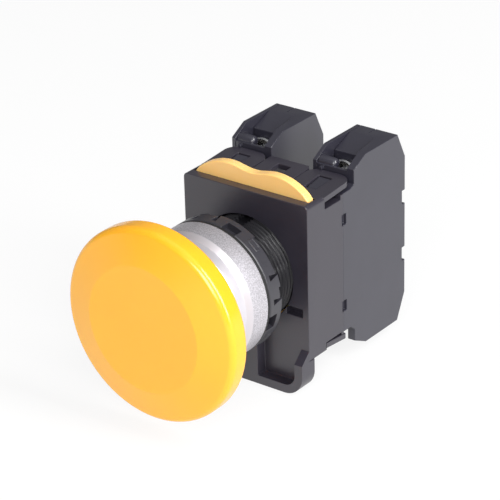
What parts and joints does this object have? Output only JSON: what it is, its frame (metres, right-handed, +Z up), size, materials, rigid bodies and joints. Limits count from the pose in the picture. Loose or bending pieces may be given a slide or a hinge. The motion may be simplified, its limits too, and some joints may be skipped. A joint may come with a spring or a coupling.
{
  "type": "mushroom push button",
  "caption": "Mushroom push button with bezel ring, ring nut, panel holder with release latch, and two contact blocks clipped to the holder.",
  "frame": {"origin": "on the button's axis, in the plane of the panel's front face, which is the gasket's rear face", "axes": "+Y into the panel along the button's axis, so the cap faces -Y; +Z up; +X to the right as seen by someone facing the cap"},
  "size_m": [0.04, 0.0664, 0.0445],
  "materials": {
    "cap_yellow": "glossy injection moulding",
    "latch_yellow": "satin moulding",
    "white_plastic": "natural moulding",
    "spring_steel": "drawn wire",
    "rubber": "matt",
    "operator_black": "satin moulding",
    "bezel_silver": "matt blasted",
    "steel": "zinc plated",
    "holder_black": "matt moulding",
    "block_black": "matt moulding",
    "copper_alloy": "bright strip",
    "brass": "bright strip"
  },
  "bodies": {
    "operator": {"operator_body": "operator_black", "bezel_ring": "bezel_silver", "panel_gasket": "rubber", "stem_seal": "rubber", "lock_nut": "operator_black", "holder": "holder_black", "return_spring": "spring_steel", "latch_spring_left": "spring_steel", "latch_spring_right": "spring_steel", "left_case": "block_black", "left_cover": "block_black", "left_plunger_spring": "spring_steel", "left_upper_terminal": "brass", "left_lower_terminal": "brass", "left_upper_clamp": "steel", "left_lower_clamp": "steel", "left_upper_screw": "steel", "left_lower_screw": "steel", "right_case": "block_black", "right_cover": "block_black", "right_plunger_spring": "spring_steel", "right_upper_terminal": "brass", "right_lower_terminal": "brass", "right_upper_clamp": "steel", "right_lower_clamp": "steel", "right_upper_screw": "steel", "right_lower_screw": "steel"},
    "button": {"mushroom_cap": "cap_yellow", "button_stem": "white_plastic", "actuator_plate": "white_plastic", "actuator_screw": "steel"},
    "latch": {"release_latch": "latch_yellow"},
    "left_plunger_body": {"left_plunger": "white_plastic", "left_contact_spring": "spring_steel"},
    "left_bridge_body": {"left_bridge": "copper_alloy"},
    "right_plunger_body": {"right_plunger": "white_plastic", "right_bridge": "copper_alloy", "right_contact_spring": "spring_steel"}
  },
  "joints": [
    {"name": "button_press", "type": "slide", "parent": "operator", "child": "button", "axis": [0, 1, 0], "range_m": [0, 0.0043], "stiffness_N_per_m": 1500, "springref_m": -0.004, "deforming": ["return_spring"]},
    {"name": "latch_press", "type": "slide", "parent": "operator", "child": "latch", "axis": [0, 0, -1], "range_m": [0, 0.002], "stiffness_N_per_m": 1000, "springref_m": -0.002, "deforming": ["latch_spring_left", "latch_spring_right"]},
    {"name": "left_plunger_push", "type": "slide", "parent": "operator", "child": "left_plunger_body", "axis": [0, 1, 0], "range_m": [0, 0.0043], "deforming": ["left_plunger_spring"]},
    {"name": "left_bridge_lag", "type": "slide", "parent": "left_plunger_body", "child": "left_bridge_body", "axis": [0, -1, 0], "range_m": [0, 0.00157], "deforming": ["left_contact_spring"]},
    {"name": "right_plunger_push", "type": "slide", "parent": "operator", "child": "right_plunger_body", "axis": [0, 1, 0], "range_m": [0, 0.0043], "deforming": ["right_plunger_spring"]}
  ],
  "couplings": [
    {"joint": "left_plunger_push", "follows": "button_press", "ratio": 1},
    {"joint": "left_bridge_lag", "follows": "button_press", "ratio": 0.365},
    {"joint": "right_plunger_push", "follows": "button_press", "ratio": 1}
  ]
}
